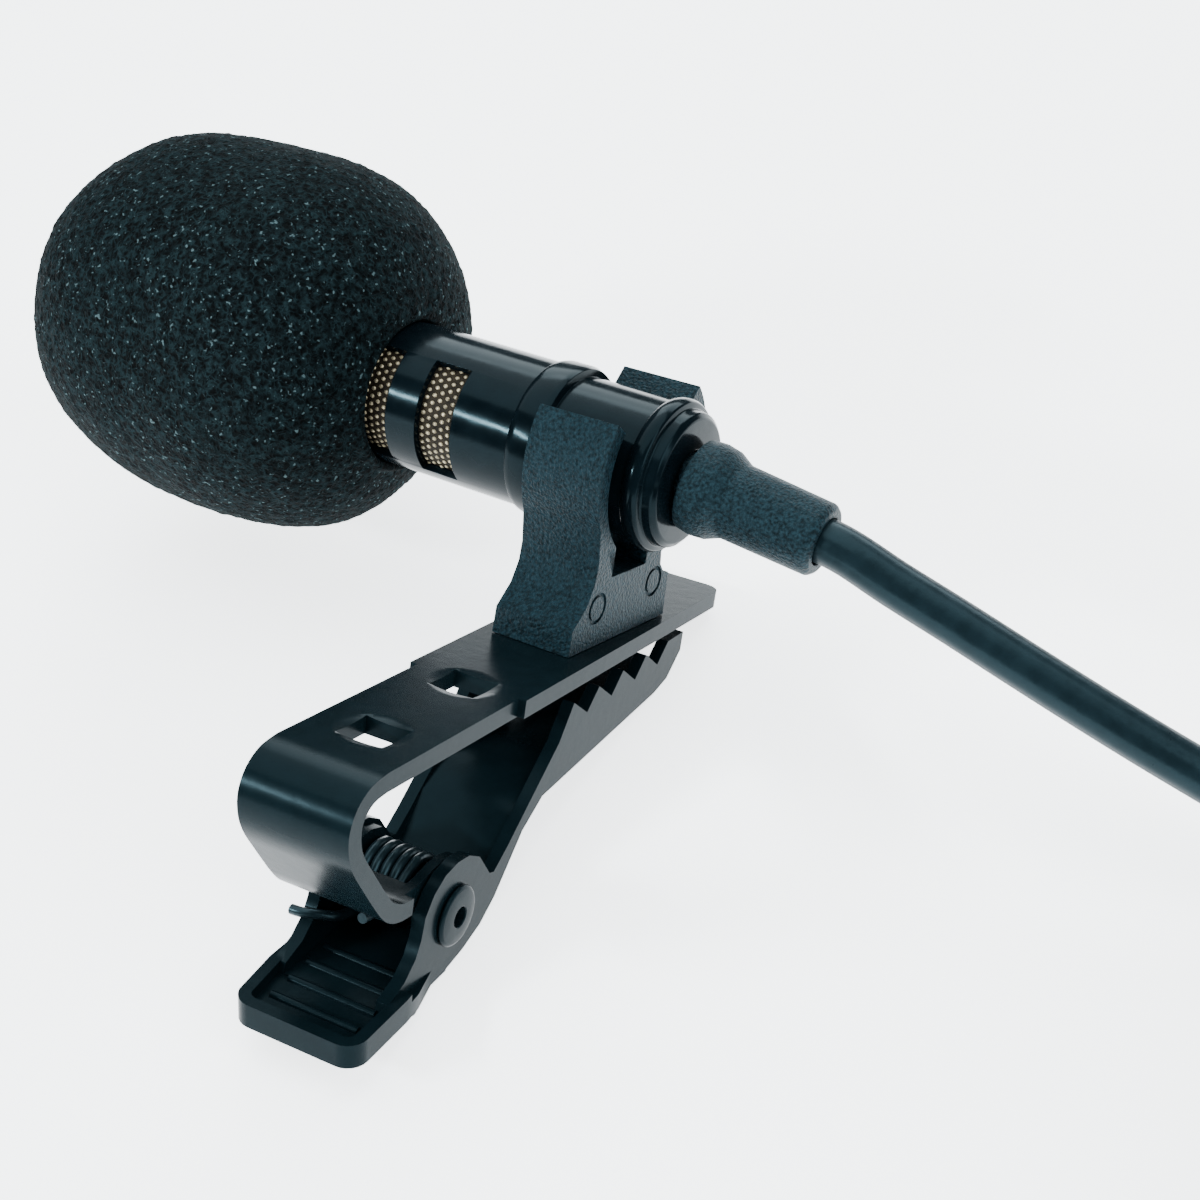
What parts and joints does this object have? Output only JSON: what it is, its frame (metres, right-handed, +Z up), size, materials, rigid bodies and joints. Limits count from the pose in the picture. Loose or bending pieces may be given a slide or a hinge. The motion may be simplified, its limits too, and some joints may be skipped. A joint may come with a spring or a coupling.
{
  "type": "lavalier microphone",
  "caption": "Small tie-clip microphone: slim barrel with side windows and a foam windscreen, held by a C-clamp on a sprung steel clip, with a thin cable and a jack plug.",
  "frame": {"origin": "on the table under the middle of the microphone and clip, the cable left out", "axes": "+X along the microphone towards the cable, +Y along the clip towards its jaw tips, +Z up"},
  "size_m": [0.1592, 0.0523, 0.0261],
  "materials": {
    "foam": "open-cell foam, matt",
    "gloss_black": "glossy",
    "mesh": "woven wire, satin",
    "steel": "satin",
    "rubber": "matt",
    "board": "matt",
    "wire": "satin",
    "soft_black": "matt, finely grained",
    "cable_black": "semi-gloss",
    "moulded_black": "matt, fine texture",
    "black_steel": "glossy black coating",
    "spring_steel": "blackened",
    "gold": "gold plated"
  },
  "bodies": {
    "holder": {"clip_holder": "moulded_black", "strain_relief": "soft_black", "cable": "cable_black", "cable_coil": "cable_black", "cable_tie": "rubber", "cable_tail": "cable_black", "plug_boot": "soft_black", "plug_shell": "gloss_black", "plug_sleeve": "gold", "plug_ring": "gold", "plug_tip": "gold", "plug_insulators": "moulded_black"},
    "clip": {"upper_clip": "black_steel", "holder_rivet": "black_steel", "hinge_pin": "black_steel", "torsion_spring": "spring_steel"},
    "jaw": {"lower_jaw": "black_steel"},
    "microphone": {"mic_barrel": "gloss_black", "front_cap": "gloss_black", "front_mesh": "mesh", "mesh_screen": "mesh", "capsule": "steel", "capsule_gasket": "rubber", "capsule_board": "board", "capsule_wires": "wire", "end_cap": "gloss_black"},
    "windscreen": {"windscreen": "foam"}
  },
  "joints": [
    {"name": "clip_swivel", "type": "hinge", "parent": "holder", "child": "clip", "pos_m": [0.01239, 0.00539, 0.00611], "axis": [0, 0.3797, 0.9251], "range_deg": [-30, 30]},
    {"name": "jaw_hinge", "type": "hinge", "parent": "clip", "child": "jaw", "pos_m": [0.01239, -0.01374, 0.00294], "axis": [-1, 0, 0], "range_deg": [0, 30], "stiffness_Nm_per_rad": 0.05, "springref_deg": -57.3, "deforming": ["torsion_spring"]},
    {"name": "mic_turn", "type": "hinge", "parent": "holder", "child": "microphone", "pos_m": [0.01208, 0.01039, 0.01419], "axis": [0.9979, -0.0641, 0.0046], "range_deg": [-180, 180]},
    {"name": "windscreen_slide", "type": "slide", "parent": "microphone", "child": "windscreen", "axis": [-0.9979, 0.0641, -0.0046], "range_m": [0, 0.03]}
  ]
}
